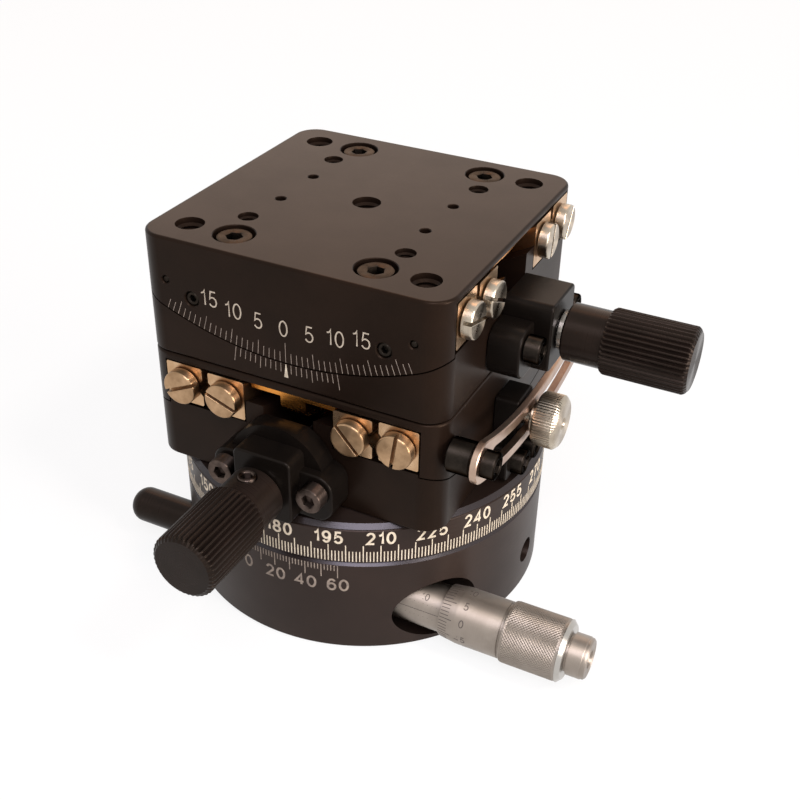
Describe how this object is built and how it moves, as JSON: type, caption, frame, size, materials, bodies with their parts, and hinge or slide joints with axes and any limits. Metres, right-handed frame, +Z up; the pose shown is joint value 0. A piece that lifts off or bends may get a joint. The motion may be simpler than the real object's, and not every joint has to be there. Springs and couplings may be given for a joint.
{
  "type": "rotary stage with two-axis tilt",
  "caption": "Micrometer-driven rotary stage carrying two crossed curved-rail tilt stages with worm knobs, clamp straps, engraved scales and a drilled top table.",
  "frame": {"origin": "on the rotation axis, in the plane of the bottom face", "axes": "+Z up along the rotation axis, +X towards the upper tilt knob and the micrometer, -Y towards the lower tilt knob and the upper scale"},
  "size_m": [0.1158, 0.1151, 0.083],
  "materials": {
    "black_anodised": "satin black anodised, fine milled grain",
    "knob_black": "black anodised, turned and ribbed",
    "tool_steel": "black-oxide steel",
    "nickel": "nickel plated, turned",
    "rail_steel": "ground bearing steel",
    "cage_steel": "stamped cage strip with polished rollers",
    "brass": "machined brass",
    "satin_chrome": "satin chrome plated"
  },
  "bodies": {
    "base": {"rotary_body": "black_anodised", "micrometer_sleeve": "satin_chrome", "spring_housing": "knob_black"},
    "fine_arm": {"clamp_ring": "tool_steel"},
    "lock_screw": {"lock_screw": "tool_steel"},
    "turntable": {"turntable": "black_anodised", "dial_ring": "black_anodised", "lower_base": "black_anodised", "lower_fixed_rail_a": "rail_steel", "lower_fixed_rail_b": "rail_steel", "lower_worm_bracket": "black_anodised", "lower_bracket_screw_1": "tool_steel", "lower_bracket_screw_2": "tool_steel", "lower_stop_screw_2": "nickel", "lower_stop_screw_3": "nickel", "lower_clamp_block": "black_anodised"},
    "lower_cages": {"lower_roller_cage_a": "cage_steel", "lower_roller_cage_b": "cage_steel"},
    "lower_worm_shaft": {"lower_worm": "tool_steel", "lower_tilt_knob": "knob_black"},
    "lower_thumb": {"lower_thumb_screw": "nickel"},
    "lower_table": {"lower_table": "black_anodised", "lower_moving_rail_a": "rail_steel", "lower_moving_rail_b": "rail_steel", "lower_stop_screw_1": "nickel", "lower_stop_screw_4": "nickel", "lower_worm_sector": "brass", "lower_clamp_strap": "nickel", "lower_strap_post_1": "knob_black", "lower_strap_post_2": "knob_black", "upper_base": "black_anodised", "upper_fixed_rail_a": "rail_steel", "upper_fixed_rail_b": "rail_steel", "upper_worm_bracket": "black_anodised", "upper_bracket_screw_1": "tool_steel", "upper_bracket_screw_2": "tool_steel", "upper_stop_screw_2": "nickel", "upper_stop_screw_3": "nickel", "upper_clamp_block": "black_anodised"},
    "upper_cages": {"upper_roller_cage_a": "cage_steel", "upper_roller_cage_b": "cage_steel"},
    "upper_worm_shaft": {"upper_worm": "tool_steel", "upper_tilt_knob": "knob_black"},
    "upper_thumb": {"upper_thumb_screw": "nickel"},
    "upper_table": {"upper_table": "black_anodised", "upper_moving_rail_a": "rail_steel", "upper_moving_rail_b": "rail_steel", "upper_stop_screw_1": "nickel", "upper_stop_screw_4": "nickel", "upper_worm_sector": "brass", "upper_clamp_strap": "nickel", "upper_strap_post_1": "knob_black", "upper_strap_post_2": "knob_black", "table_screw_1": "tool_steel", "table_screw_2": "tool_steel", "table_screw_3": "tool_steel", "table_screw_4": "tool_steel"},
    "micrometer_slide": {"micrometer_spindle": "satin_chrome"},
    "micrometer_thimble": {"micrometer_thimble": "satin_chrome"},
    "spring_plunger": {"spring_plunger": "tool_steel"}
  },
  "joints": [
    {"name": "fine_rotation", "type": "hinge", "parent": "base", "child": "fine_arm", "pos_m": [0, 0, 0], "axis": [0, 0, 1], "range_deg": [-5, 5]},
    {"name": "turntable_rotation", "type": "hinge", "parent": "fine_arm", "child": "turntable", "pos_m": [0, 0, 0], "axis": [0, 0, 1], "continuous": true},
    {"name": "lock_screw_turn", "type": "hinge", "parent": "fine_arm", "child": "lock_screw", "pos_m": [0.0187, 0, 0.0087], "axis": [1, 0, 0], "range_deg": [0, 360]},
    {"name": "spindle_travel", "type": "slide", "parent": "base", "child": "micrometer_slide", "axis": [1, 0, 0], "range_m": [-0.0023, 0.0023]},
    {"name": "thimble_spin", "type": "hinge", "parent": "micrometer_slide", "child": "micrometer_thimble", "pos_m": [0.045, -0.0254, 0.0087], "axis": [1, 0, 0], "range_deg": [-1610, 1610]},
    {"name": "plunger_travel", "type": "slide", "parent": "base", "child": "spring_plunger", "axis": [1, 0, 0], "range_m": [-0.0023, 0.0023]},
    {"name": "lower_tilt", "type": "hinge", "parent": "turntable", "child": "lower_table", "pos_m": [0, 0, 0.133], "axis": [1, 0, 0], "range_deg": [-10, 10]},
    {"name": "lower_cage_roll", "type": "hinge", "parent": "turntable", "child": "lower_cages", "pos_m": [0, 0, 0.133], "axis": [1, 0, 0], "range_deg": [-5.2, 5.2]},
    {"name": "lower_knob_spin", "type": "hinge", "parent": "turntable", "child": "lower_worm_shaft", "pos_m": [0, -0.045, 0.04051], "axis": [0, -1, 0], "range_deg": [-3540, 3540]},
    {"name": "lower_thumb_turn", "type": "hinge", "parent": "turntable", "child": "lower_thumb", "pos_m": [0.0405, -0.0025, 0.04578], "axis": [1, 0, 0], "range_deg": [0, 360]},
    {"name": "upper_tilt", "type": "hinge", "parent": "lower_table", "child": "upper_table", "pos_m": [0, 0, 0.133], "axis": [0, 1, 0], "range_deg": [-15, 15]},
    {"name": "upper_cage_roll", "type": "hinge", "parent": "lower_table", "child": "upper_cages", "pos_m": [0, 0, 0.133], "axis": [0, 1, 0], "range_deg": [-7.8, 7.8]},
    {"name": "upper_knob_spin", "type": "hinge", "parent": "lower_table", "child": "upper_worm_shaft", "pos_m": [0.045, 0, 0.0655], "axis": [1, 0, 0], "range_deg": [-3800, 3800]},
    {"name": "upper_thumb_turn", "type": "hinge", "parent": "lower_table", "child": "upper_thumb", "pos_m": [0, 0.0405, 0.06862], "axis": [0, 1, 0], "range_deg": [0, 360]}
  ],
  "couplings": [
    {"joint": "spindle_travel", "follows": "fine_rotation", "m_per_rad": 0.0254},
    {"joint": "thimble_spin", "follows": "fine_rotation", "ratio": 319.19},
    {"joint": "plunger_travel", "follows": "fine_rotation", "m_per_rad": 0.0254},
    {"joint": "lower_cage_roll", "follows": "lower_tilt", "ratio": 0.5},
    {"joint": "lower_knob_spin", "follows": "lower_tilt", "ratio": 351.94},
    {"joint": "upper_cage_roll", "follows": "upper_tilt", "ratio": 0.5},
    {"joint": "upper_knob_spin", "follows": "upper_tilt", "ratio": 252}
  ]
}
